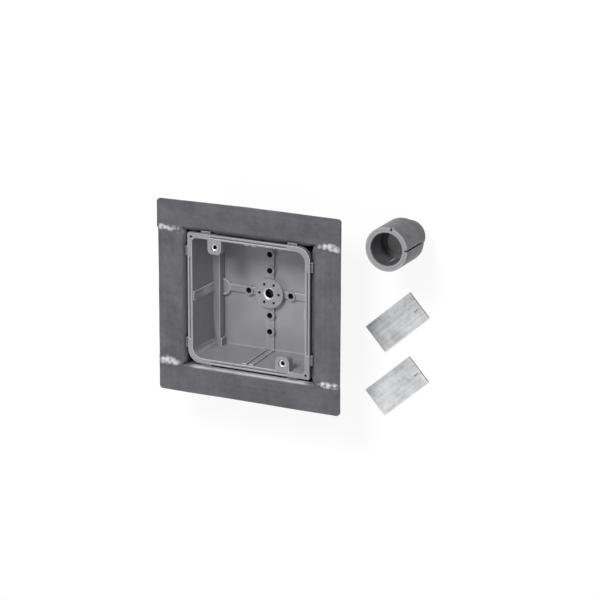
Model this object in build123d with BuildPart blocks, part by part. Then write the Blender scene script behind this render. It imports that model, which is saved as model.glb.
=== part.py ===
from build123d import *
from math import cos, radians, sin
import os

# Lead-lined outlet box for a shielded wall, with its conduit connector and two loose lead plates.
# Millimetres. The box lies on its back: the origin is the centre of the lead back plate's
# outer face, +Z points out of the opening, +Y to the upper side as it is built in, +X to the right.

# Lead casing, folded from sheet and soldered
lead_t = 2.0                  # sheet thickness
flange_side = 160.0           # outer size of the flange
flange_corner_r = 3.0
bend_r = 1.0                  # inner radius of the fold between wall and flange
upper_strip_extra = 1.0       # the upper strip was cut this much longer at its left end
joint_gap = 0.2               # gap between two strips, bridged by solder
casing_clearance = 0.1        # from the ears of the moulding to the casing
seam_w = 5.0                  # solder seam on the flange
seam_h = 0.9
wall_seam_h = 0.8             # solder seams on the casing's outer corners

# Moulded PVC box
box_depth = 44.0
rim_side = 107.4
rim_w = 4.0
rim_band_h = 5.0
rim_large_r = 11.0            # upper right and lower left corners
rim_small_r = 1.5             # upper left and lower right corners, which hold the rim pins' holes
opening_large_r = 8.5
opening_small_r = 4.0
wall_t = 2.6
back_t = 2.8
draft = 2.0                   # degrees, on the walls inside and outside

# Ears around the rim, which centre the moulding in the casing
ear_w = 8.0
ear_reach = 2.2
ear_depth = 4.0
ear_setback = 0.8
ear_offset = 38.0             # from the middle of a side

# Rim details
groove_w = 1.3
groove_depth = 0.8
rim_pin_r = 1.0
rim_pin_depth = 4.5
rim_pin_inset = 3.2           # from the rim's outer edges

# Cover screw tabs at the upper left and lower right
tab_w = 12.0
tab_reach = 11.7
tab_t = 7.0
tab_corner_r = 4.0
tab_offset = 29.8             # from the middle of the side
tab_hole_inset = 6.0          # from the opening's edge
cover_insert_r = 3.25
cover_insert_len = 5.5
cover_insert_recess = 1.0
cover_thread_r = 1.65         # M4 core
cover_screw_way_r = 2.2

# Inside the back
back_fillet = 1.2             # where the back meets the walls
shoulder_w = 6.0
shoulder_h = 8.0
shoulder_groove_w = 0.8
shoulder_groove_depth = 0.8
shoulder_foot_w = 1.4         # how much wider a shoulder is at one end
shoulder_foot_len = 7.3       # as far as the middle of the wall
upright_strap_w = 6.2
level_strap_w = 5.6
strap_h = 2.0
strap_pad_r = 7.0
pad_ring_w = 1.3
pad_ring_h = 0.6
strap_hole_r = 2.4
inner_hole_reach = 18.7
outer_hole_reach = 32.2
boss_r = 4.0
boss_h = 1.0
hub_r = 12.5
hub_h = 4.3
hub_edge = 0.4
hub_screw_circle_r = 8.5
hub_screw_r = 1.1
hub_screw_depth = 4.0
hub_screws = 6
centre_insert_r = 4.75
centre_insert_len = 5.0
centre_insert_proud = 0.2
centre_thread_r = 3.4         # M8 core
centre_countersink = 1.1
cover_countersink = 0.9

# Pairs of guide fins along the middle of the four walls, which hold a partition
fin_h = 1.2
fin_w = 1.2
long_fin_gap = 4.8            # between the fins of a pair on the upper and lower walls
side_fin_gap = 2.6            # the same on the left and right walls
fin_setback = 1.0

# Conduit connector, standing on its spigot
connector_at = (119.0, 61.5)
socket_r = 13.0               # for conduit of 26 mm
socket_depth = 24.0
socket_chamfer = 0.6
socket_wall = 2.5
connector_body_len = 32.0
spigot_r = 12.25
spigot_len = 15.0
wireway_r = 9.5
sleeve_clearance = 0.05
slit_w = 1.6
slit_turn = 2.0               # degrees from +X
nick_w = 1.8
nick_depth = 3.0
nick_turn = 76.0

# Loose lead plates
plate_len = 50.0
plate_w = 25.5
plate_t = 1.5
plate_turn = 41.5             # degrees from +X
plate_corner_r = 0.8
slot_len = 4.5
slot_w = 1.2
slot_depth = 1.0              # it doesn't go through
slot_inset = 4.5
slot_offset = -2.2
plate_places = {"lead_plate_1": (108.9, -11.0), "lead_plate_2": (109.1, -63.7)}

# Worked out from the sizes above
front_z = lead_t + box_depth
flange_back_z = front_z - lead_t
flange_half = flange_side / 2
outer_bend_r = bend_r + lead_t
casing_in = rim_side / 2 + ear_reach + casing_clearance
casing_out = casing_in + lead_t
opening_half = rim_side / 2 - rim_w
floor_z = lead_t + back_t
back_half = opening_half - (front_z - floor_z) * sin(radians(draft)) / cos(radians(draft))
hub_z = floor_z + hub_h
tab_hole_y = opening_half - tab_hole_inset
tab_holes = [(-tab_offset, tab_hole_y), (tab_offset, -tab_hole_y)]
rim_pin_at = rim_side / 2 - rim_pin_inset
connector_body_r = socket_r + socket_wall
sleeve_in_r = connector_body_r + sleeve_clearance
sleeve_r = sleeve_in_r + lead_t
connector_len = connector_body_len + spigot_len

sides = {"upper": (0, 1), "lower": (0, -1), "left": (-1, 0), "right": (1, 0)}

os.makedirs("parts", exist_ok=True)


def across(outward, along=0.0):
    """Plane across a side of the box: local x points outward and local y along +Z."""
    x, y = outward
    return Plane(origin=(-y * along, x * along, 0), x_dir=(x, y, 0), z_dir=(y, -x, 0))


def write(piece, name):
    piece.part.label = name
    export_step(piece.part, f"parts/{name}.step")


def folded_section(outward):
    """Section across a folded lead strip: casing wall, bend and flange."""
    with BuildSketch(across(outward)) as section:
        with BuildLine():
            Line((casing_in, lead_t), (casing_in, front_z - outer_bend_r))
            RadiusArc((casing_in, front_z - outer_bend_r), (casing_in + outer_bend_r, front_z), outer_bend_r)
            Polyline(
                (casing_in + outer_bend_r, front_z),
                (flange_half, front_z),
                (flange_half, flange_back_z),
                (casing_out + bend_r, flange_back_z),
            )
            RadiusArc((casing_out + bend_r, flange_back_z), (casing_out, flange_back_z - bend_r), -bend_r)
            Polyline((casing_out, flange_back_z - bend_r), (casing_out, lead_t), (casing_in, lead_t))
        make_face()
    return section.sketch


def cornered_square(z, side, large_r, small_r):
    """Square with large corners at the upper right and lower left, and small ones at the other two."""
    with BuildSketch(Plane.XY.offset(z)) as outline:
        Rectangle(side, side)
        fillet([v for v in vertices() if v.X * v.Y > 0], radius=large_r)
        fillet([v for v in vertices() if v.X * v.Y < 0], radius=small_r)
    return outline.sketch


def bead_section(plane, width, height):
    """Section of a solder bead that lies on a flat surface."""
    with BuildSketch(plane) as section:
        with BuildLine():
            ThreePointArc((-width / 2, 0), (0, height), (width / 2, 0))
            Line((width / 2, 0), (-width / 2, 0))
        make_face()
    return section.sketch


# Lead back plate, which the four folded strips stand on
with BuildPart() as lead_back_plate:
    with BuildSketch():
        Rectangle(2 * casing_out, 2 * casing_out)
    extrude(amount=lead_t)
write(lead_back_plate, "lead_back_plate")

# Upper and lower strips, which run the full width of the flange
for name, extra in {"upper": upper_strip_extra, "lower": 0.0}.items():
    outward = sides[name]
    upward = outward[1]
    with BuildPart() as long_strip:
        extrude(folded_section(outward), amount=casing_out, both=True)
        with BuildSketch(Plane.XY.offset(flange_back_z)):
            for side, end in {-1: flange_half + extra, 1: flange_half}.items():
                near_y = casing_in + joint_gap
                with Locations((side * (casing_out + end) / 2, upward * (near_y + flange_half) / 2)):
                    Rectangle(end - casing_out, flange_half - near_y)
        extrude(amount=lead_t)
        end_edges = long_strip.edges().filter_by(Axis.Z).filter_by(
            lambda e: abs(e.center().X) > casing_out + 1 and abs(e.center().Y) > flange_half - 1
        )
        fillet(end_edges, radius=flange_corner_r)
    write(long_strip, f"lead_{name}_strip")

# Left and right strips, which stand between the other two
for name in ("left", "right"):
    with BuildPart() as short_strip:
        extrude(folded_section(sides[name]), amount=casing_in, both=True)
    write(short_strip, f"lead_{name}_strip")

# Solder seams across the flange, from its outer edge to the opening
for name, (side, upward) in {
    "upper_left": (-1, 1), "upper_right": (1, 1), "lower_left": (-1, -1), "lower_right": (1, -1)
}.items():
    seam_y = upward * (casing_in + joint_gap / 2)
    seam_plane = Plane(origin=(side * (casing_in + outer_bend_r), seam_y, front_z),
                       x_dir=(0, side, 0), z_dir=(side, 0, 0))
    with BuildPart() as flange_seam:
        extrude(bead_section(seam_plane, seam_w, seam_h), amount=flange_half - casing_in - outer_bend_r)
    write(flange_seam, f"flange_seam_{name}")
    corner_plane = Plane(origin=(side * casing_out, upward * casing_in, 2 * lead_t),
                         x_dir=(0, -side, 0), z_dir=(0, 0, 1))
    with BuildPart() as corner_seam:
        extrude(bead_section(corner_plane, 2 * lead_t, wall_seam_h),
                amount=flange_back_z - bend_r - 2 * lead_t)
    write(corner_seam, f"corner_seam_{name}")

# Solder seams around the foot of the casing's walls
for name, (x, y) in sides.items():
    foot_plane = Plane(origin=((x + y) * casing_out, (y - x) * casing_out, lead_t),
                       x_dir=(0, 0, 1), z_dir=(-y, x, 0))
    with BuildPart() as back_seam:
        extrude(bead_section(foot_plane, 2 * lead_t, wall_seam_h), amount=2 * casing_out)
    write(back_seam, f"back_seam_{name}")

# Shoulders along the foot of the left and right walls, each a little wider at one end
shoulder_inner = back_half - shoulder_w
shoulder_outer = back_half + wall_t / 2
with BuildPart() as shoulders:
    with BuildSketch(Plane.XY.offset(floor_z)):
        for side in (-1, 1):
            with Locations((side * (shoulder_inner + shoulder_outer) / 2, 0)):
                Rectangle(shoulder_outer - shoulder_inner, 2 * shoulder_outer)
            foot_x = shoulder_inner - shoulder_foot_w / 2
            foot_y = shoulder_outer - shoulder_foot_len / 2
            with Locations((side * foot_x, side * foot_y)):
                Rectangle(shoulder_foot_w, shoulder_foot_len)
    extrude(amount=shoulder_h)
    extrude(cornered_square(floor_z, 2 * shoulder_outer, opening_large_r, opening_small_r),
            amount=shoulder_h, mode=Mode.INTERSECT)

# Moulded PVC box: tapered walls under a heavier rim, with ears, tabs, fins, straps and a hub
with BuildPart() as box_body:
    # Walls and rim band, solid until the cavity is cut
    wall_side = 2 * (opening_half + wall_t)
    extrude(cornered_square(front_z, wall_side, opening_large_r + wall_t, opening_small_r + wall_t),
            amount=-box_depth, taper=draft)
    extrude(cornered_square(front_z, rim_side, rim_large_r, rim_small_r), amount=-rim_band_h)
    with BuildSketch(Plane.XY.offset(front_z - ear_setback)):
        for x, y in sides.values():
            for offset in (-ear_offset, ear_offset):
                reach = rim_side / 2 + ear_reach - opening_half
                middle = opening_half + reach / 2
                with Locations((x * middle + y * offset, y * middle + x * offset)):
                    Rectangle(reach if x else ear_w, reach if y else ear_w)
    extrude(amount=-ear_depth)

    # Cavity down to the back wall
    extrude(cornered_square(front_z, 2 * opening_half, opening_large_r, opening_small_r),
            amount=-(front_z - floor_z), taper=draft, mode=Mode.SUBTRACT)
    back_edges = box_body.edges().filter_by(lambda e: abs(e.center().Z - floor_z) < 0.01)
    fillet(back_edges, radius=back_fillet)

    # Cover screw tabs, flush with the rim
    with BuildSketch(Plane.XY.offset(front_z)):
        tab_len = tab_reach + rim_w / 2
        tab_middle = opening_half - tab_reach + tab_len / 2
        with Locations((-tab_offset, tab_middle), (tab_offset, -tab_middle)):
            Rectangle(tab_w, tab_len)
        free_corners = [v for v in vertices() if abs(v.Y) < opening_half]
        fillet(free_corners, radius=tab_corner_r)
    extrude(amount=-tab_t)

    # Shoulders, with a groove in the back along the side of each
    add(shoulders.part)
    with BuildSketch(Plane.XY.offset(floor_z)):
        plain_len = 2 * back_half - back_fillet - shoulder_foot_len
        shoulder_groove_x = shoulder_inner - shoulder_groove_w / 2
        shoulder_groove_y = back_half - back_fillet - plain_len / 2
        with Locations((-shoulder_groove_x, shoulder_groove_y), (shoulder_groove_x, -shoulder_groove_y)):
            Rectangle(shoulder_groove_w, plain_len)
    extrude(amount=-shoulder_groove_depth, mode=Mode.SUBTRACT)

    # Crossed straps, with a ringed round pad where the level one meets each shoulder
    strap_foot_z = floor_z - shoulder_groove_depth
    with BuildSketch(Plane.XY.offset(strap_foot_z)):
        Rectangle(upright_strap_w, 2 * shoulder_outer)
        Rectangle(2 * shoulder_inner, level_strap_w)
        with Locations((-shoulder_inner, 0), (shoulder_inner, 0)):
            Circle(strap_pad_r)
    extrude(amount=shoulder_groove_depth + strap_h)
    with BuildSketch(Plane.XY.offset(strap_foot_z)):
        with Locations((-shoulder_inner, 0), (shoulder_inner, 0)):
            Circle(strap_pad_r)
            Circle(strap_pad_r - pad_ring_w, mode=Mode.SUBTRACT)
    extrude(amount=shoulder_groove_depth + strap_h + pad_ring_h)

    # Guide fins, which follow the draft of the walls
    for name, outward in sides.items():
        gap = long_fin_gap if name in ("upper", "lower") else side_fin_gap
        for along in (-(gap + fin_w) / 2, (gap + fin_w) / 2):
            with BuildSketch(across(outward, along)) as fin_section:
                with BuildLine():
                    Polyline(
                        (opening_half - fin_h, front_z - fin_setback),
                        (opening_half + wall_t / 2, front_z - fin_setback),
                        (back_half + wall_t / 2, floor_z),
                        (back_half - fin_h, floor_z),
                        close=True,
                    )
                make_face()
            extrude(fin_section.sketch, amount=fin_w / 2, both=True)

    # Bosses and hub
    strap_holes = [(0, outer_hole_reach), (0, inner_hole_reach), (0, -inner_hole_reach),
                   (0, -outer_hole_reach), (-inner_hole_reach, 0), (inner_hole_reach, 0)]
    with BuildSketch(Plane.XY.offset(floor_z)):
        with Locations(*strap_holes):
            Circle(boss_r)
    extrude(amount=strap_h + boss_h)
    with BuildSketch(Plane.XY.offset(floor_z)):
        Circle(hub_r)
    extrude(amount=hub_h)
    hub_rim = box_body.edges().filter_by(GeomType.CIRCLE).filter_by(
        lambda e: abs(e.radius - hub_r) < 0.01 and abs(e.center().Z - hub_z) < 0.01
    )
    fillet(hub_rim, radius=hub_edge)

    # Holes
    with Locations(Plane.XY.offset(floor_z + strap_h + boss_h)):
        with Locations(*strap_holes):
            Hole(strap_hole_r, depth=back_t + strap_h + boss_h)
    with Locations(Plane.XY.offset(hub_z)):
        Hole(centre_insert_r, depth=centre_insert_len - centre_insert_proud)
        with PolarLocations(hub_screw_circle_r, hub_screws):
            Hole(hub_screw_r, depth=hub_screw_depth)
    with Locations(Plane.XY.offset(front_z)):
        pocket_depth = cover_insert_recess + cover_insert_len
        with Locations(*tab_holes):
            CounterBoreHole(cover_screw_way_r, cover_insert_r, pocket_depth, depth=tab_t)
        with Locations((-rim_pin_at, rim_pin_at), (rim_pin_at, -rim_pin_at)):
            Hole(rim_pin_r, depth=rim_pin_depth)

    # Groove along the middle of each side of the rim, between its ears
    with BuildSketch(Plane.XY.offset(front_z)):
        groove_len = 2 * (ear_offset - ear_w / 2)
        groove_at = rim_side / 2 - rim_w / 2
        for x, y in sides.values():
            with Locations((x * groove_at, y * groove_at)):
                Rectangle(groove_w if x else groove_len, groove_w if y else groove_len)
    extrude(amount=-groove_depth, mode=Mode.SUBTRACT)
write(box_body, "box_body")

# Threaded metal inserts: two for the cover screws, and one in the middle of the hub
with BuildPart() as cover_inserts:
    with BuildSketch(Plane.XY.offset(front_z - cover_insert_recess)):
        with Locations(*tab_holes):
            Circle(cover_insert_r)
            Circle(cover_thread_r, mode=Mode.SUBTRACT)
    extrude(amount=-cover_insert_len)
    thread_mouths = cover_inserts.edges().group_by(Axis.Z)[-1].filter_by(
        lambda e: abs(e.radius - cover_thread_r) < 0.01
    )
    chamfer(thread_mouths, length=cover_countersink)
write(cover_inserts, "cover_inserts")

with BuildPart() as centre_insert:
    with BuildSketch(Plane.XY.offset(hub_z + centre_insert_proud)):
        Circle(centre_insert_r)
        Circle(centre_thread_r, mode=Mode.SUBTRACT)
    extrude(amount=-centre_insert_len)
    chamfer(centre_insert.edges().group_by(Axis.Z)[-1].sort_by(SortBy.RADIUS)[0], length=centre_countersink)
write(centre_insert, "centre_insert")

# Conduit connector: a socket for the conduit above a narrower spigot
with BuildPart() as connector_body:
    axis_plane = Plane.XZ.offset(-connector_at[1])
    with BuildSketch(axis_plane) as connector_section:
        with BuildLine():
            x = connector_at[0]
            Polyline(
                (x + wireway_r, 0),
                (x + spigot_r, 0),
                (x + spigot_r, spigot_len),
                (x + connector_body_r, spigot_len),
                (x + connector_body_r, connector_len),
                (x + socket_r, connector_len),
                (x + socket_r, connector_len - socket_depth),
                (x + wireway_r, connector_len - socket_depth),
                close=True,
            )
        make_face()
    connector_axis = Axis((connector_at[0], connector_at[1], 0), (0, 0, 1))
    revolve(axis=connector_axis)
    mouth_edge = connector_body.edges().filter_by(GeomType.CIRCLE).filter_by(
        lambda e: abs(e.radius - socket_r) < 0.01
    ).sort_by(Axis.Z)[-1]
    chamfer(mouth_edge, length=socket_chamfer)
write(connector_body, "connector_body")

# Lead sheet wrapped round the connector, open along one slit and nicked at its upper edge
with BuildPart() as connector_sleeve:
    with BuildSketch(Plane.XY.offset(spigot_len)):
        with Locations(connector_at):
            Circle(sleeve_r)
            Circle(sleeve_in_r, mode=Mode.SUBTRACT)
            with PolarLocations(sleeve_r, 1, start_angle=slit_turn):
                Rectangle(4 * lead_t, slit_w, mode=Mode.SUBTRACT)
    extrude(amount=connector_body_len)
    with BuildSketch(Plane.XY.offset(connector_len)):
        with Locations(connector_at):
            with PolarLocations(sleeve_r, 1, start_angle=nick_turn):
                Rectangle(2 * lead_t, nick_w)
    extrude(amount=-nick_depth, mode=Mode.SUBTRACT)
write(connector_sleeve, "connector_sleeve")

# Loose lead plates, each with a short blind slot near one end
plate_along = (cos(radians(plate_turn)), sin(radians(plate_turn)), 0)
for name, place in plate_places.items():
    plate_plane = Plane(origin=(*place, 0), x_dir=plate_along, z_dir=(0, 0, 1))
    with BuildPart() as lead_plate:
        with BuildSketch(plate_plane):
            RectangleRounded(plate_len, plate_w, plate_corner_r)
        extrude(amount=plate_t)
        with BuildSketch(plate_plane.offset(plate_t)):
            with Locations((plate_len / 2 - slot_inset, slot_offset)):
                SlotOverall(slot_len, slot_w)
        extrude(amount=-slot_depth, mode=Mode.SUBTRACT)
    write(lead_plate, name)
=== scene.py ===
from math import cos, pi, radians, sin

import bmesh
import bpy
from mathutils import Matrix, Vector, noise


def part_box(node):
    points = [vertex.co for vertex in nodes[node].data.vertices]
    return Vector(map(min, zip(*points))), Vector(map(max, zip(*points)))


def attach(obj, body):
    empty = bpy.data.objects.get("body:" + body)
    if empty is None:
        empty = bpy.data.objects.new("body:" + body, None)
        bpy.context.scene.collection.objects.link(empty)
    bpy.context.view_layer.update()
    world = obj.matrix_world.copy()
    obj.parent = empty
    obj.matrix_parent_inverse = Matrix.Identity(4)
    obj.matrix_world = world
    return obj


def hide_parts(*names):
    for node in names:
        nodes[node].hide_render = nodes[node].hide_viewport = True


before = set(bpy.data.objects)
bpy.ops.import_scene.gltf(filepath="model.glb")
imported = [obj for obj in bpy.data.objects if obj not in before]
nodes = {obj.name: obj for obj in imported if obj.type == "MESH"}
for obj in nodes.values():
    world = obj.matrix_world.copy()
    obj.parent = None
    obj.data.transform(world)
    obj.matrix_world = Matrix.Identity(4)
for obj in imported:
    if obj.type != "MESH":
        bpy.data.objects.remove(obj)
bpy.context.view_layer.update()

# The set as it is photographed: the box lies on its back on a pale table, and the camera looks into
# it from the upper right, far away, so that the square opening keeps nearly parallel sides. Its
# directions, its place in metres and its lens were solved for the corners of the flange and the rim.
scene = bpy.context.scene
mm = 0.001
camera_data = bpy.data.cameras.new("camera")
camera = bpy.data.objects.new("camera", camera_data)
scene.collection.objects.link(camera)
scene.camera = camera
camera_place = (1.0067, 0.6805, 2.0253)
camera_right = Vector((0.8992, 0.0027, -0.4376)).normalized()
camera_back = Vector((0.418, 0.2911, 0.8606))
camera_back = (camera_back - camera_back.dot(camera_right) * camera_right).normalized()
camera_up = camera_back.cross(camera_right)
camera.matrix_world = Matrix.Translation(camera_place) @ Matrix((
    (camera_right.x, camera_up.x, camera_back.x),
    (camera_right.y, camera_up.y, camera_back.y),
    (camera_right.z, camera_up.z, camera_back.z),
)).to_4x4()
camera_data.sensor_fit = "HORIZONTAL"
camera_data.sensor_width = 36.0
camera_data.lens = 176.95
camera_data.clip_start = 0.05
camera_data.clip_end = 20.0


def linear(hex_colour):
    """An sRGB hex colour as linear red, green, blue and alpha."""
    channels = [int(hex_colour[i:i + 2], 16) / 255 for i in (1, 3, 5)]
    return [c / 12.92 if c <= 0.04045 else ((c + 0.055) / 1.055) ** 2.4 for c in channels] + [1.0]


def add(tree, kind, settings=None, **inputs):
    """Adds a node. An input takes a value, or the output socket that it is linked from."""
    node = tree.nodes.new(kind)
    for key, value in (settings or {}).items():
        setattr(node, key, value)
    for key, value in inputs.items():
        socket = node.inputs[int(key[1:]) if key[0] == "_" else key.replace("_", " ")]
        if isinstance(value, bpy.types.NodeSocket):
            tree.links.new(value, socket)
        else:
            socket.default_value = value
    return node


def new_material(name):
    """A material without nodes, and its node tree."""
    material = bpy.data.materials.new(name)
    material.use_nodes = True
    material.node_tree.nodes.clear()
    return material, material.node_tree


def seen_rays(tree):
    """1 for rays by which a surface is seen, straight, mirrored or through glass, and 0 for others."""
    rays = add(tree, "ShaderNodeLightPath")
    seen = add(tree, "ShaderNodeMath", {"operation": "MAXIMUM"}, _0=rays.outputs["Is Camera Ray"],
               _1=rays.outputs["Is Glossy Ray"])
    seen = add(tree, "ShaderNodeMath", {"operation": "MAXIMUM"}, _0=seen.outputs[0],
               _1=rays.outputs["Is Transmission Ray"])
    return seen.outputs[0]


# Table and room. White paper that keeps a faint shadow, one large soft lamp beyond the upper side of
# the box, which leaves the walls to its left and right in shade, and two weak ones.
paper, tree = new_material("white_paper")
glow_share = 0.85
share = add(tree, "ShaderNodeMath", {"operation": "MULTIPLY"}, _0=seen_rays(tree), _1=glow_share)
diffuse = add(tree, "ShaderNodeBsdfDiffuse", Color=linear("#f0f0f0"))
glow = add(tree, "ShaderNodeEmission", Color=(1, 1, 1, 1), Strength=1.06)
mixed = add(tree, "ShaderNodeMixShader", Fac=share.outputs[0], _1=diffuse.outputs[0], _2=glow.outputs[0])
add(tree, "ShaderNodeOutputMaterial", Surface=mixed.outputs[0])
half_table = 4.0
below_box = 0.2 * mm
table_mesh = bpy.data.meshes.new("table")
corners = ((-1, -1), (1, -1), (1, 1), (-1, 1))
table_mesh.from_pydata([(x * half_table, y * half_table, 0) for x, y in corners], [], [(0, 1, 2, 3)])
table_mesh.transform(Matrix.Translation((0, 0, -below_box)))
table = bpy.data.objects.new("table", table_mesh)
table.data.materials.append(paper)
scene.collection.objects.link(table)

world = bpy.data.worlds.new("room")
scene.world = world
world.use_nodes = True
tree = world.node_tree
tree.nodes.clear()
level = add(tree, "ShaderNodeMapRange", Value=seen_rays(tree), To_Min=0.30, To_Max=1.0)
sky = add(tree, "ShaderNodeBackground", Color=(1, 1, 1, 1), Strength=level.outputs[0])
add(tree, "ShaderNodeOutputWorld", Surface=sky.outputs[0])
aim = Vector((0.02, 0, 0.03))
for name, place, size, watts in (
    ("upper_lamp", (-0.28, 1.75, 2.20), 0.85, 50.0),
    ("camera_side_lamp", (1.70, -0.55, 1.60), 0.80, 1.5),
    ("lower_left_lamp", (-1.50, -0.90, 1.80), 0.80, 4.0),
):
    lamp_data = bpy.data.lights.new(name, "AREA")
    lamp_data.size = size
    lamp_data.energy = watts
    lamp = bpy.data.objects.new(name, lamp_data)
    lamp.location = place
    lamp.rotation_euler = (Vector(place) - aim).to_track_quat("Z", "Y").to_euler()
    scene.collection.objects.link(lamp)


def cad_copy(node):
    """A clean mesh of a CAD node: vertices merged, and flat faces whole again."""
    mesh = bmesh.new()
    mesh.from_mesh(nodes[node].data)
    bmesh.ops.remove_doubles(mesh, verts=mesh.verts, dist=0.08 * mm)
    bmesh.ops.dissolve_limit(mesh, angle_limit=radians(1.0), verts=mesh.verts, edges=mesh.edges)
    return mesh


def soften(mesh, width, angle=50.0):
    """Rounds the outward edges that are sharper than the angle, in degrees, and marks them for painted
    light.
    """
    painted_light = mesh.faces.layers.float.new("painted_light")
    shortest = 0.6 * mm
    sharp = [e for e in mesh.edges if e.is_convex and e.calc_face_angle(0) > radians(angle)
             and e.calc_length() > shortest]
    rounded = bmesh.ops.bevel(mesh, geom=sharp, offset=width, offset_type="OFFSET", segments=2, profile=0.5,
                              affect="EDGES", clamp_overlap=False)
    for face in rounded["faces"]:
        face[painted_light] = 1.0


def cut_across(mesh, axis, place):
    """Cuts every face where the axis has this place."""
    normal = Vector([1.0 if i == axis else 0.0 for i in range(3)])
    bmesh.ops.bisect_plane(mesh, geom=mesh.verts[:] + mesh.edges[:] + mesh.faces[:], dist=0.001 * mm,
                           plane_co=normal * place, plane_no=normal)


def slice_up(mesh, step, low, high, axes):
    """Cuts every face along a regular grid, so that the surface can be bent."""
    for axis in axes:
        place = low[axis] + step / 2
        while place < high[axis]:
            cut_across(mesh, axis, place)
            place += step


def within(value):
    """The value, kept between 0 and 1."""
    return max(0.0, min(1.0, value))


def finish_piece(mesh, name, material, body, replaced, smooth=30.0):
    """Makes the mesh a piece that rides on a body and stands for its CAD nodes. Its normals lean to the
    larger faces, so that flat faces stay flat beside rounded edges."""
    data = bpy.data.meshes.new(name)
    mesh.to_mesh(data)
    mesh.free()
    data.materials.append(material)
    data.shade_smooth()
    data.set_sharp_from_angle(angle=radians(smooth))
    piece = bpy.data.objects.new(name, data)
    scene.collection.objects.link(piece)
    weighted = piece.modifiers.new("weighted", "WEIGHTED_NORMAL")
    weighted.keep_sharp = True
    bpy.context.view_layer.update()
    data = bpy.data.meshes.new_from_object(piece.evaluated_get(bpy.context.evaluated_depsgraph_get()))
    piece.modifiers.clear()
    piece.data = data
    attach(piece, body)
    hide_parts(*replaced)


def lead_material(name, dark, light, roughness, metallic, streak_turn=0.0, streaks=0.30, fold="#38383b",
                  edge="#5c5c61"):
    """Rolled lead: a dull metal with cloudy oxide, fine grain and faint marks of the rolls. The fold
    round the casing, less than 58.8 mm off the middle and near the flange, is painted in the fold tone
    except at the corners, as painted shade or a painted highlight, and the edges and faces marked for
    painted light are painted in the edge tone. The clouds are about 18 mm long, the spots 4 mm and the
    grain 0.7 mm. The roll marks are 2.4 mm apart and 70 mm long."""
    material, tree = new_material(name)
    place = add(tree, "ShaderNodeTexCoord").outputs["Object"]
    clouds = add(tree, "ShaderNodeTexNoise", Vector=place, Scale=55.0, Detail=5.0, Roughness=0.62)
    spots = add(tree, "ShaderNodeTexNoise", Vector=place, Scale=260.0, Detail=4.0, Roughness=0.6)
    grain = add(tree, "ShaderNodeTexNoise", Vector=place, Scale=1500.0, Detail=2.0)
    turned = add(tree, "ShaderNodeMapping", {"vector_type": "TEXTURE"}, Vector=place,
                 Rotation=(0, 0, streak_turn), Scale=(1 / 14, 1 / 420, 1 / 60))
    rolls = add(tree, "ShaderNodeTexNoise", Vector=turned.outputs[0], Scale=1.0, Detail=3.0)
    sum_1 = add(tree, "ShaderNodeMath", {"operation": "MULTIPLY_ADD"}, _0=spots.outputs["Fac"], _1=0.45,
                _2=clouds.outputs["Fac"])
    sum_2 = add(tree, "ShaderNodeMath", {"operation": "MULTIPLY_ADD"}, _0=rolls.outputs["Fac"], _1=streaks,
                _2=sum_1.outputs[0])
    low_sum, high_sum = 0.47 + streaks / 2, 0.97 + streaks / 2
    tone = add(tree, "ShaderNodeMapRange", Value=sum_2.outputs[0], From_Min=low_sum, From_Max=high_sum)
    colour = add(tree, "ShaderNodeMix", {"data_type": "RGBA"}, Factor=tone.outputs[0], _6=linear(dark),
                 _7=linear(light))
    rough = add(tree, "ShaderNodeMapRange", Value=sum_2.outputs[0], From_Min=low_sum, From_Max=high_sum,
                To_Min=roughness + 0.08, To_Max=roughness - 0.08)
    height = add(tree, "ShaderNodeMath", {"operation": "MULTIPLY_ADD"}, _0=grain.outputs["Fac"], _1=0.25,
                 _2=spots.outputs["Fac"])
    bump = add(tree, "ShaderNodeBump", Height=height.outputs[0], Strength=0.35, Distance=0.25 * mm)
    parts = add(tree, "ShaderNodeSeparateXYZ", _0=place)
    off_x = add(tree, "ShaderNodeMath", {"operation": "ABSOLUTE"}, _0=parts.outputs["X"]).outputs[0]
    off_y = add(tree, "ShaderNodeMath", {"operation": "ABSOLUTE"}, _0=parts.outputs["Y"]).outputs[0]
    more = add(tree, "ShaderNodeMath", {"operation": "MAXIMUM"}, _0=off_x, _1=off_y)
    bent = add(tree, "ShaderNodeMapRange", Value=more.outputs[0], From_Min=58.8 * mm, From_Max=57.4 * mm)
    less = add(tree, "ShaderNodeMath", {"operation": "MINIMUM"}, _0=off_x, _1=off_y)
    inside = add(tree, "ShaderNodeMapRange", Value=less.outputs[0], From_Min=54.0 * mm, From_Max=48.0 * mm)
    patches = add(tree, "ShaderNodeMapRange", Value=clouds.outputs["Fac"], From_Min=0.30, From_Max=0.55,
                  To_Min=0.45)
    near = add(tree, "ShaderNodeMapRange", Value=parts.outputs["Z"], From_Min=41.5 * mm, From_Max=43.5 * mm)
    # Painted light on the fold: the fold tone, dark for painted shade or pale for a painted highlight.
    painted_light = add(tree, "ShaderNodeMath", {"operation": "MULTIPLY"}, _0=bent.outputs[0], _1=patches.outputs[0])
    painted_light = add(tree, "ShaderNodeMath", {"operation": "MULTIPLY"}, _0=painted_light.outputs[0], _1=near.outputs[0])
    painted_light = add(tree, "ShaderNodeMath", {"operation": "MULTIPLY"}, _0=painted_light.outputs[0], _1=inside.outputs[0])
    colour = add(tree, "ShaderNodeMix", {"data_type": "RGBA"}, Factor=painted_light.outputs[0],
                 _6=colour.outputs["Result"], _7=linear(fold))
    # Painted light on the marked edges and faces: the edge tone, a painted highlight, or painted shade on
    # the plates' sides.
    edges = add(tree, "ShaderNodeAttribute", {"attribute_name": "painted_light"})
    colour = add(tree, "ShaderNodeMix", {"data_type": "RGBA"}, Factor=edges.outputs["Fac"],
                 _6=colour.outputs["Result"], _7=linear(edge))
    shader = add(tree, "ShaderNodeBsdfPrincipled", Base_Color=colour.outputs["Result"], Metallic=metallic,
                 Roughness=rough.outputs[0], Normal=bump.outputs[0])
    add(tree, "ShaderNodeOutputMaterial", Surface=shader.outputs[0])
    return material
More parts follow.
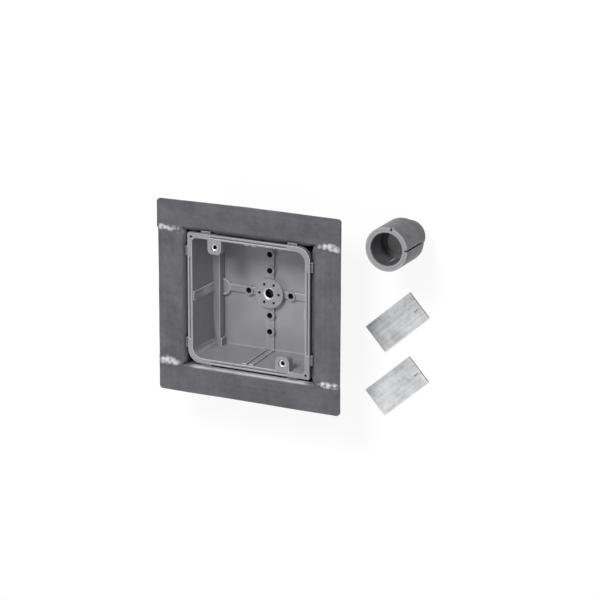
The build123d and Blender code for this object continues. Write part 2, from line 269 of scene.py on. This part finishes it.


# Dull oxide skin, which scatters light nearly as paint does, with a weak metal sheen under it.
# The upper strip: its fold in the default dark fold tone, painted shade, and its rounded edges a little
# paler, a faint painted highlight.
rolled_lead = lead_material("rolled_lead", "#4e4e53", "#66666b", 0.56, 0.25)
# The lower strip: a little paler all over, as painted light, and its fold painted pale, a painted highlight
# along the bend.
lower_lead_painted_highlight = lead_material("lower_lead_painted_highlight", "#515156", "#69696e", 0.56, 0.25, fold="#b2b3b6")
# The left strip: its fold painted a little darker, as painted shade.
upright_lead = lead_material("upright_lead", "#4e4e53", "#68686d", 0.56, 0.25, pi / 2, fold="#4a4a4e")
# The right strip: a little paler all over, as painted light, with its fold in the dark fold tone, painted
# shade.
right_lead = lead_material("shaded_lead", "#505055", "#6a6a6f", 0.56, 0.25, pi / 2)
flange_width = 22.0 * mm
flange_cuts = 5
fold_end, full_play = 57.0 * mm, 20.0 * mm
wave_length, wave_height, edge_play = 26.0 * mm, 0.35 * mm, 0.25 * mm
half_flange, left_sag = 80.0 * mm, 1.5 * mm
# The upper, left and right walls are dressed in towards the moulding by up to 1.4 mm, most near the
# flange. The moulding's ears, 33 to 42.5 mm off the middle of each side, keep their room, and so do
# the corners past 56 mm. The rest of these lengths, in mm, are the ways over which the dressing fades.
dressed_in = 1.4 * mm
ear_from, ear_to, ear_fade = 33.0, 42.5, 2.0
corner_from, corner_fade = 56.0, 6.0
plain_height, height_fade = 20.0, 20.0
dressed_reach, reach_fade = 65.0, 6.0
for side, finish in (("upper", rolled_lead), ("lower", lower_lead_painted_highlight), ("left", upright_lead),
                     ("right", right_lead)):
    node = f"lead_{side}_strip"
    low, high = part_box(node)
    mesh = cad_copy(node)
    # The rounded edges are marked for a faint painted highlight in the edge tone.
    soften(mesh, 0.35 * mm)
    along = 0 if side in ("upper", "lower") else 1
    across = 1 - along
    slice_up(mesh, 5.0 * mm, low, high, (along, 2))
    sign = 1 if side in ("upper", "right") else -1
    outer = high[across] if sign > 0 else low[across]
    for count in range(1, flange_cuts):
        cut_across(mesh, across, outer - sign * flange_width * count / flange_cuts)
    for vertex in mesh.verts:
        spot = vertex.co / wave_length
        reach = within((max(abs(vertex.co.x), abs(vertex.co.y)) - fold_end) / full_play)
        lift = noise.noise(spot + Vector((3.1, 7.7, 0.0)))
        sway = noise.noise(spot * 0.8 + Vector((11.0, 2.0, 5.0)))
        vertex.co.z += wave_height * lift * reach
        vertex.co[across] -= sign * edge_play * (0.5 + 0.5 * sway) * reach
        if side == "upper":
            sag = within(-vertex.co.x / half_flange)
            vertex.co.y -= left_sag * sag * reach
        if side != "lower":
            off = abs(vertex.co[along]) / mm
            past_ear = min((off - ear_to) / ear_fade, (corner_from - off) / corner_fade)
            clear = within((ear_from - off) / ear_fade) + within(past_ear)
            high_up = within((vertex.co.z / mm - plain_height) / height_fade)
            inner = within((dressed_reach - abs(vertex.co[across]) / mm) / reach_fade)
            vertex.co[across] -= sign * dressed_in * clear * high_up * inner
    finish_piece(mesh, f"{side}_strip", finish, "box", (node,))
nodes["lead_back_plate"].data.materials.clear()
nodes["lead_back_plate"].data.materials.append(rolled_lead)


# Solder. A plumber's wiped seam joins the strips: bright lumps where the metal ran thick, thin grey
# film between them, in streaks 5 mm long and 2 mm wide along the flange seams, and a ragged outline
# on the dull lead. The finest lumps in the skin are about 1 mm across.
solder, tree = new_material("wiped_solder")
place = add(tree, "ShaderNodeTexCoord").outputs["Object"]
drawn = add(tree, "ShaderNodeMapping", Vector=place, Scale=(0.5, 1.3, 1.0))
film = add(tree, "ShaderNodeTexNoise", Vector=drawn.outputs[0], Scale=380.0, Detail=5.0, Roughness=0.6)
beads = add(tree, "ShaderNodeTexNoise", Vector=place, Scale=900.0, Detail=3.0)
thick = add(tree, "ShaderNodeAttribute", {"attribute_name": "thickness"})
sum_1 = add(tree, "ShaderNodeMath", {"operation": "MULTIPLY_ADD"}, _0=film.outputs["Fac"], _1=0.9,
            _2=thick.outputs["Fac"])
tone = add(tree, "ShaderNodeMapRange", Value=sum_1.outputs[0], From_Min=0.58, From_Max=1.50)
colour = add(tree, "ShaderNodeMix", {"data_type": "RGBA"}, Factor=tone.outputs[0], _6=linear("#5b5b60"),
             _7=linear("#d4d5d8"))
rough = add(tree, "ShaderNodeMapRange", Value=tone.outputs[0], To_Min=0.58, To_Max=0.42)
bump = add(tree, "ShaderNodeBump", Height=beads.outputs["Fac"], Strength=0.35, Distance=0.2 * mm)
shader = add(tree, "ShaderNodeBsdfPrincipled", Base_Color=colour.outputs["Result"], Metallic=0.55,
             Roughness=rough.outputs[0], Normal=bump.outputs[0])
add(tree, "ShaderNodeOutputMaterial", Surface=shader.outputs[0])


def lumpy_bead(name, start, along, outward, length, width, height, node, seed, ragged=0.5, taper=0.0):
    """A run of solder on a flat surface: a ragged, lumpy dome whose edge dips into the lead. It thins
    out towards its start over the tapered share of its length."""
    row_step, columns, dip = 0.45 * mm, 20, 0.15
    swell_length, drift_length, blob_length, lump_length, lump_width = 3.0, 7.0, 4.2, 2.6, 2.0
    across = outward.cross(along)
    rows = max(8, round(length / row_step))
    mesh = bmesh.new()
    thickness = mesh.verts.layers.float.new("thickness")
    grid = []
    for row in range(rows + 1):
        s = row / rows
        swell = noise.noise(Vector((s * length / (swell_length * mm), seed, 0.0)))
        fade = min(1.0, (s + 0.02) / taper) if taper else 1.0
        half = width / 2 * (1.0 + ragged * swell) * (0.5 + 0.5 * fade)
        drift = width * 0.10 * noise.noise(Vector((s * length / (drift_length * mm), seed, 9.0)))
        end = min(1.0, 8 * s, 8 * (1 - s)) ** 0.5
        blob = max(0.0, noise.noise(Vector((s * length / (blob_length * mm), seed, 4.0))))
        line = []
        for column in range(columns + 1):
            t = 2 * column / columns - 1
            lump = noise.noise(Vector((s * length / (lump_length * mm), t * half / (lump_width * mm),
                                       seed)))
            dome = (1 - t * t) ** 1.6 * (0.55 + 0.55 * lump + 0.9 * blob) * end * fade
            rise = max(0.06 * end * (1 - t * t) ** 0.3, min(1.0, 0.8 * dome)) * height
            if abs(t) == 1 or row in (0, rows):
                rise = -dip * height
            point = start + along * (s * length) + across * (t * half + drift) + outward * rise
            vertex = mesh.verts.new(point)
            vertex[thickness] = within(1.2 * dome)
            line.append(vertex)
        grid.append(line)
    for a, b in zip(grid, grid[1:]):
        for i in range(columns):
            mesh.faces.new((a[i], b[i], b[i + 1], a[i + 1]))
    for a, b in zip(grid[1:-1], grid[2:-1]):
        mesh.faces.new((a[-1], b[-1], b[0], a[0]))
    ends = [mesh.faces.new(grid[0] + [grid[1][-1], grid[1][0]]),
            mesh.faces.new(grid[-1][::-1] + [grid[-2][0], grid[-2][-1]])]
    bmesh.ops.poke(mesh, faces=ends)
    for corner, inner in ((grid[0][0], grid[1][1]), (grid[0][-1], grid[1][-2]),
                          (grid[-1][0], grid[-2][1]), (grid[-1][-1], grid[-2][-2])):
        bmesh.ops.connect_verts(mesh, verts=[corner, inner])
    finish_piece(mesh, name, solder, "box", (node,), smooth=60.0)


up = Vector((0, 0, 1))
seed = 1.0
# Each flange seam's width, and its shift up or down the flange, in mm.
wiped = {"upper_left": (6.6, -0.9), "lower_left": (9.5, 0.4),
         "upper_right": (8.4, 0.0), "lower_right": (7.4, 0.3)}
flange_bead_height = 0.95 * mm
corner_bead_width, back_bead_width, hidden_bead_height = 5.0 * mm, 3.2 * mm, 0.9 * mm
back_bead_sunk = 0.4 * mm
next_seed, corner_seeds, back_seeds = 1.7, 20, 40
for side_x, word_x in ((-1, "left"), (1, "right")):
    for word_y in ("upper", "lower"):
        node = f"flange_seam_{word_y}_{word_x}"
        low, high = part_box(node)
        width, shift = wiped[f"{word_y}_{word_x}"]
        start = Vector((low.x if side_x > 0 else high.x, (low.y + high.y) / 2 + shift * mm, low.z))
        lumpy_bead(node + "_run", start, Vector((side_x, 0, 0)), up, high.x - low.x, width * mm,
                   flange_bead_height, node, seed, ragged=0.25, taper=0.35)
        node = f"corner_seam_{word_y}_{word_x}"
        low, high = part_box(node)
        start = Vector((low.x if side_x > 0 else high.x, (low.y + high.y) / 2, low.z))
        lumpy_bead(node + "_run", start, up, Vector((side_x, 0, 0)), high.z - low.z, corner_bead_width,
                   hidden_bead_height, node, seed + corner_seeds)
        seed += next_seed
for word, outward in (("upper", Vector((0, 1, 0))), ("lower", Vector((0, -1, 0))),
                      ("left", Vector((-1, 0, 0))), ("right", Vector((1, 0, 0)))):
    node = f"back_seam_{word}"
    low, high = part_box(node)
    along = outward.cross(up)
    middle = (low + high) / 2
    length = max(high.x - low.x, high.y - low.y)
    start = middle - along * (length / 2) - outward * back_bead_sunk
    lumpy_bead(node + "_run", start, along, outward, length, back_bead_width, hidden_bead_height, node,
               seed + back_seeds, ragged=0.15)
    seed += next_seed


# Moulded box. Grey PVC from a polished mould: an orange-peel skin finer than 1 mm, faint flow marks
# about 20 mm long, rounded edges painted pale, a painted highlight, and painted shade, near black, in
# its screw holes and in the groove of its rim.
pvc, tree = new_material("moulded_pvc")
place = add(tree, "ShaderNodeTexCoord").outputs["Object"]
flow = add(tree, "ShaderNodeTexNoise", Vector=place, Scale=45.0, Detail=4.0, Roughness=0.6, Distortion=0.6)
peel = add(tree, "ShaderNodeTexNoise", Vector=place, Scale=1300.0, Detail=2.0)
tone = add(tree, "ShaderNodeMapRange", Value=flow.outputs["Fac"], From_Min=0.35, From_Max=0.65)
colour = add(tree, "ShaderNodeMix", {"data_type": "RGBA"}, Factor=tone.outputs[0], _6=linear("#96959a"),
             _7=linear("#9f9ea3"))
# Painted highlight: the rounded edges are painted near white.
edges = add(tree, "ShaderNodeAttribute", {"attribute_name": "painted_light"})
colour = add(tree, "ShaderNodeMix", {"data_type": "RGBA"}, Factor=edges.outputs["Fac"],
             _6=colour.outputs["Result"], _7=linear("#e4e3e8"))
# Painted shade: the walls of the screw holes and the floor of the rim's groove are painted near black.
recess = add(tree, "ShaderNodeAttribute", {"attribute_name": "recess"})
colour = add(tree, "ShaderNodeMix", {"data_type": "RGBA"}, Factor=recess.outputs["Fac"],
             _6=colour.outputs["Result"], _7=linear("#1d1d1f"))
rough = add(tree, "ShaderNodeMapRange", Value=flow.outputs["Fac"], From_Min=0.35, From_Max=0.65,
            To_Min=0.36, To_Max=0.30)
bump = add(tree, "ShaderNodeBump", Height=peel.outputs["Fac"], Strength=0.12, Distance=0.1 * mm)
shader = add(tree, "ShaderNodeBsdfPrincipled", Base_Color=colour.outputs["Result"],
             Roughness=rough.outputs[0], IOR=1.53, Normal=bump.outputs[0])
add(tree, "ShaderNodeOutputMaterial", Surface=shader.outputs[0])
mesh = cad_copy("box_body")
soften(mesh, 0.3 * mm, angle=60.0)
recess = mesh.faces.layers.float.new("recess")
low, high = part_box("box_body")
inner_hole, outer_hole, hub_ring, rim_pin = 18.7, 32.2, 8.5, 50.5
strap_hole_r, hub_screw_r, rim_pin_r = 2.5, 1.2, 1.1
strap_holes = ((0, outer_hole), (0, inner_hole), (0, -inner_hole), (0, -outer_hole),
               (-inner_hole, 0), (inner_hole, 0))
holes = [(x, y, strap_hole_r) for x, y in strap_holes]
holes += [(hub_ring * cos(pi * i / 3), hub_ring * sin(pi * i / 3), hub_screw_r) for i in range(6)]
holes += [(-rim_pin, rim_pin, rim_pin_r), (rim_pin, -rim_pin, rim_pin_r)]
groove_floor = high.z - 0.8 * mm
# Marks the faces for painted shade: hole walls at 0.9 and the groove floor at 0.6.
for face in mesh.faces:
    middle = face.calc_center_median()
    if abs(face.normal.z) < 0.2:
        for x, y, radius in holes:
            if (Vector((x, y)) * mm - middle.xy).length < radius * mm:
                face[recess] = 0.9
    elif abs(middle.z - groove_floor) < 0.05 * mm:
        face[recess] = 0.6
finish_piece(mesh, "moulded_box", pvc, "box", ("box_body",), smooth=40.0)


# Threaded inserts. Nickel-plated brass bushes pressed into the plastic: a countersunk mouth that
# catches the light, and a real helical thread down the bore, which is painted near black below the
# countersink as painted shade. The wear on the plating shows as cloudy spots of 1 to 2 mm.
nickel, tree = new_material("nickel_plated_brass")
place = add(tree, "ShaderNodeTexCoord").outputs["Object"]
wear = add(tree, "ShaderNodeTexNoise", Vector=place, Scale=700.0, Detail=4.0)
tone = add(tree, "ShaderNodeMapRange", Value=wear.outputs["Fac"], From_Min=0.35, From_Max=0.65)
clean = add(tree, "ShaderNodeMix", {"data_type": "RGBA"}, Factor=tone.outputs[0], _6=linear("#c3c2be"),
            _7=linear("#e6e6e3"))
# Painted shade down the bore: near black below the countersink.
bore_painted_shade = add(tree, "ShaderNodeAttribute", {"attribute_name": "bore_painted_shade"})
colour = add(tree, "ShaderNodeMix", {"data_type": "RGBA"}, Factor=bore_painted_shade.outputs["Fac"],
             _6=clean.outputs["Result"], _7=linear("#2c2b2a"))
rough = add(tree, "ShaderNodeMapRange", Value=wear.outputs["Fac"], From_Min=0.35, From_Max=0.65,
            To_Min=0.36, To_Max=0.24)
shader = add(tree, "ShaderNodeBsdfPrincipled", Base_Color=colour.outputs["Result"], Metallic=1.0,
             Roughness=rough.outputs[0])
add(tree, "ShaderNodeOutputMaterial", Surface=shader.outputs[0])


def threaded_bush(top, bottom, outer, core, pitch, depth, countersink, centre, blind=False, around=56):
    """A bush with a helical inner thread below a flat cone, as a closed mesh about a centre."""
    rows_per_turn, cone = 8, 1.7
    edge, floor, hollow, shade_fade = 0.15 * mm, 0.5 * mm, 0.2 * mm, 0.5 * mm
    mesh = bmesh.new()
    bore_painted_shade = mesh.verts.layers.float.new("bore_painted_shade")
    end = bottom + floor if blind else bottom
    levels = max(6, round((top - end) / pitch * rows_per_turn))
    rings = []
    for i in range(around):
        turn = 2 * pi * i / around
        ring = [(outer, bottom, 1.0), (outer, top - edge, 0.0), (outer - edge, top, 0.0)]
        for k in range(levels + 1):
            z = top - (top - end) * k / levels
            phase = ((z - bottom) / pitch - turn / (2 * pi)) % 1.0
            thread = core + depth * (1 - abs(2 * phase - 1))
            mouth = core + countersink - (top - z) * cone
            # The bore's painted shade grows over 0.5 mm below the countersink; the blind end is fully dark.
            dark = within((top - z - countersink / cone) / shade_fade)
            ring.append((max(thread, mouth), z, dark))
        row = []
        for r, z, dark in ring:
            vertex = mesh.verts.new((centre.x + r * cos(turn), centre.y + r * sin(turn), z))
            vertex[bore_painted_shade] = dark
            row.append(vertex)
        rings.append(row)
    count = len(rings[0])
    for a, b in zip(rings, rings[1:] + rings[:1]):
        for i in range(count - 1):
            mesh.faces.new((a[i], b[i], b[i + 1], a[i + 1]))
        if not blind:
            mesh.faces.new((a[-1], b[-1], b[0], a[0]))
    if blind:
        for line, height in (([row[-1] for row in rings], hollow), ([row[0] for row in rings], 0.0)):
            tip = mesh.verts.new((centre.x, centre.y, bottom + height))
            tip[bore_painted_shade] = 1.0
            for a, b in zip(line, line[1:] + line[:1]):
                mesh.faces.new((a, b, tip))
    bmesh.ops.recalc_face_normals(mesh, faces=mesh.faces)
    return mesh


low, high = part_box("centre_insert")
mesh = threaded_bush(high.z, low.z, outer=(high.x - low.x) / 2, core=3.4 * mm, pitch=1.25 * mm,
                     depth=0.55 * mm, countersink=1.1 * mm, centre=(low + high) / 2, blind=True)
finish_piece(mesh, "centre_bush", nickel, "box", ("centre_insert",), smooth=50.0)

# The two cover bushes are alike: one bush is set on both tabs by a node tree, and the result is kept
# as a plain mesh. The tree's line runs between two end points, and its Offset is then the second.
low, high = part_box("cover_inserts")
bush_r = 3.25 * mm
first = Vector((low.x + bush_r, high.y - bush_r, 0))
second = Vector((high.x - bush_r, low.y + bush_r, 0))
mesh = threaded_bush(high.z, low.z, outer=bush_r, core=1.65 * mm, pitch=0.7 * mm, depth=0.32 * mm,
                     countersink=0.9 * mm, centre=Vector((0, 0, 0)))
bush_data = bpy.data.meshes.new("cover_bush_shape")
mesh.to_mesh(bush_data)
mesh.free()
bush_data.shade_smooth()
bush_data.set_sharp_from_angle(angle=radians(50))
bushes = bpy.data.objects.new("cover_bushes", bush_data)
scene.collection.objects.link(bushes)
tree = bpy.data.node_groups.new("bushes_on_tabs", "GeometryNodeTree")
inputs = {}
for name, kind in (("Bush", "NodeSocketGeometry"), ("First tab", "NodeSocketVector"),
                   ("Second tab", "NodeSocketVector"), ("Finish", "NodeSocketMaterial")):
    inputs[name] = tree.interface.new_socket(name, in_out="INPUT", socket_type=kind).identifier
tree.interface.new_socket("Bushes", in_out="OUTPUT", socket_type="NodeSocketGeometry")
given = add(tree, "NodeGroupInput")
tabs = add(tree, "GeometryNodeMeshLine", {"mode": "END_POINTS"}, Count=2,
           Start_Location=given.outputs["First tab"], Offset=given.outputs["Second tab"])
placed = add(tree, "GeometryNodeInstanceOnPoints", Points=tabs.outputs[0], Instance=given.outputs["Bush"])
real = add(tree, "GeometryNodeRealizeInstances", Geometry=placed.outputs[0])
coated = add(tree, "GeometryNodeSetMaterial", Geometry=real.outputs[0], Material=given.outputs["Finish"])
add(tree, "NodeGroupOutput", Bushes=coated.outputs[0])
modifier = bushes.modifiers.new("on_tabs", "NODES")
modifier.node_group = tree
modifier[inputs["First tab"]] = first
modifier[inputs["Second tab"]] = second
modifier[inputs["Finish"]] = nickel
bpy.context.view_layer.update()
baked = bpy.data.meshes.new_from_object(bushes.evaluated_get(bpy.context.evaluated_depsgraph_get()))
bushes.modifiers.clear()
bushes.data = baked
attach(bushes, "box")
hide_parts("cover_inserts")


# Conduit connector. A turned grey PVC socket and spigot, darker than the box, with turning marks 0.5 mm
# apart and its last millimetre at the mouth painted pale as painted light, in a wrapper of lead sheet
# that is open along one slit.
dark_pvc, tree = new_material("turned_pvc")
place = add(tree, "ShaderNodeTexCoord").outputs["Object"]
lathe = add(tree, "ShaderNodeMapping", Vector=place, Scale=(20.0, 20.0, 2200.0))
rings = add(tree, "ShaderNodeTexNoise", Vector=lathe.outputs[0], Scale=1.0, Detail=3.0)
tone = add(tree, "ShaderNodeMapRange", Value=rings.outputs["Fac"], From_Min=0.3, From_Max=0.7)
turned = add(tree, "ShaderNodeMix", {"data_type": "RGBA"}, Factor=tone.outputs[0], _6=linear("#5a5a5e"),
             _7=linear("#666669"))
parts = add(tree, "ShaderNodeSeparateXYZ", _0=place)
# Painted light: the socket's top, at the mouth, is painted pale.
mouth_painted_light = add(tree, "ShaderNodeMapRange", Value=parts.outputs["Z"], From_Min=45.5 * mm, From_Max=46.6 * mm)
colour = add(tree, "ShaderNodeMix", {"data_type": "RGBA"}, Factor=mouth_painted_light.outputs[0],
             _6=turned.outputs["Result"], _7=linear("#a3a3a6"))
bump = add(tree, "ShaderNodeBump", Height=rings.outputs["Fac"], Strength=0.3, Distance=0.15 * mm)
shader = add(tree, "ShaderNodeBsdfPrincipled", Base_Color=colour.outputs["Result"], Roughness=0.45,
             IOR=1.53, Normal=bump.outputs[0])
add(tree, "ShaderNodeOutputMaterial", Surface=shader.outputs[0])
mesh = cad_copy("connector_body")
soften(mesh, 0.3 * mm)
finish_piece(mesh, "connector_socket", dark_pvc, "connector", ("connector_body",))
sleeve_lead = lead_material("wrapped_lead", "#515156", "#6b6b70", 0.42, 0.40, edge="#a2a2a5")
mesh = cad_copy("connector_sleeve")
soften(mesh, 0.3 * mm)
# Painted highlight: the wrapper's rounded edges and upward faces, at its mouth, are painted pale.
painted_light = mesh.faces.layers.float["painted_light"]
for face in mesh.faces:
    if face.normal.z > 0.5:
        face[painted_light] = 1.0
finish_piece(mesh, "connector_wrapper", sleeve_lead, "connector", ("connector_sleeve",))


# Loose lead plates. Freshly cut sheet, still bright, with smears along its length and grey clouds where
# it has been handled, its cut sides painted darker as painted shade, and a punched slot near one end.
plate_turn = radians(41.5)
slight_bend, bend_length = 0.35 * mm, 24.0 * mm
bright_lead = lead_material("bright_lead", "#babbbe", "#f0f1f2", 0.45, 0.25, plate_turn, streaks=0.6,
                            edge="#7c7c80")
for count, node in enumerate(("lead_plate_1", "lead_plate_2")):
    low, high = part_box(node)
    mesh = cad_copy(node)
    soften(mesh, 0.2 * mm)
    # Painted shade: the cut sides are marked and painted in a darker edge tone.
    painted_light = mesh.faces.layers.float["painted_light"]
    for face in mesh.faces:
        face[painted_light] = 1.0 if face.normal.z < 0.5 else 0.0
    slice_up(mesh, 4.0 * mm, low, high, (0, 1))
    for vertex in mesh.verts:
        bend = noise.noise(vertex.co / bend_length + Vector((0, 0, 5.0 * count)))
        vertex.co.z += max(0.0, bend) * slight_bend
    finish_piece(mesh, f"loose_plate_{count + 1}", bright_lead, f"plate_{count + 1}", (node,))

scene.view_settings.view_transform = "Standard"
